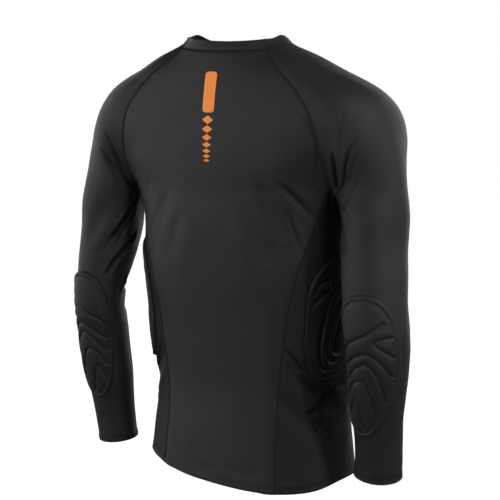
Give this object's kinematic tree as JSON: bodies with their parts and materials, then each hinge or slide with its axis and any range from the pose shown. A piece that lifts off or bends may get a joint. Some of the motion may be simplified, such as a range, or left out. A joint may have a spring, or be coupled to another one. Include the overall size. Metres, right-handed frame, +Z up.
{
  "type": "padded long-sleeved compression shirt",
  "caption": "Black close-fitting long-sleeved sports shirt with raglan sleeves and foam pads at the elbows and sides, shown as worn with no wearer.",
  "frame": {"origin": "where the wearer's shoulders hold the shirt: on the centre plane, level with the neck seam at the sides of the neck", "axes": "+Z up the wearer's back towards the neck, -Y towards the shirt's front, +X towards the wearer's left"},
  "size_m": [0.6131, 0.2423, 0.6871],
  "materials": {
    "back": "smooth knit with a slight sheen",
    "front": "smooth knit with a slight sheen",
    "side_panel_left": "smooth knit with a slight sheen",
    "side_panel_right": "smooth knit with a slight sheen",
    "sleeve_left": "smooth knit with a slight sheen",
    "sleeve_right": "smooth knit with a slight sheen",
    "collar": "smooth knit with a slight sheen",
    "elbow_pad_left": "matte moulded foam under knit",
    "elbow_pad_right": "matte moulded foam under knit",
    "side_pad_left": "matte moulded foam under knit",
    "side_pad_right": "matte moulded foam under knit"
  },
  "bodies": {
    "root": {"back": "back", "front": "front", "side_panel_left": "side_panel_left", "side_panel_right": "side_panel_right", "sleeve_left": "sleeve_left", "sleeve_right": "sleeve_right", "collar": "collar", "elbow_pad_left": "elbow_pad_left", "elbow_pad_right": "elbow_pad_right", "side_pad_left": "side_pad_left", "side_pad_right": "side_pad_right"}
  },
  "joints": []
}
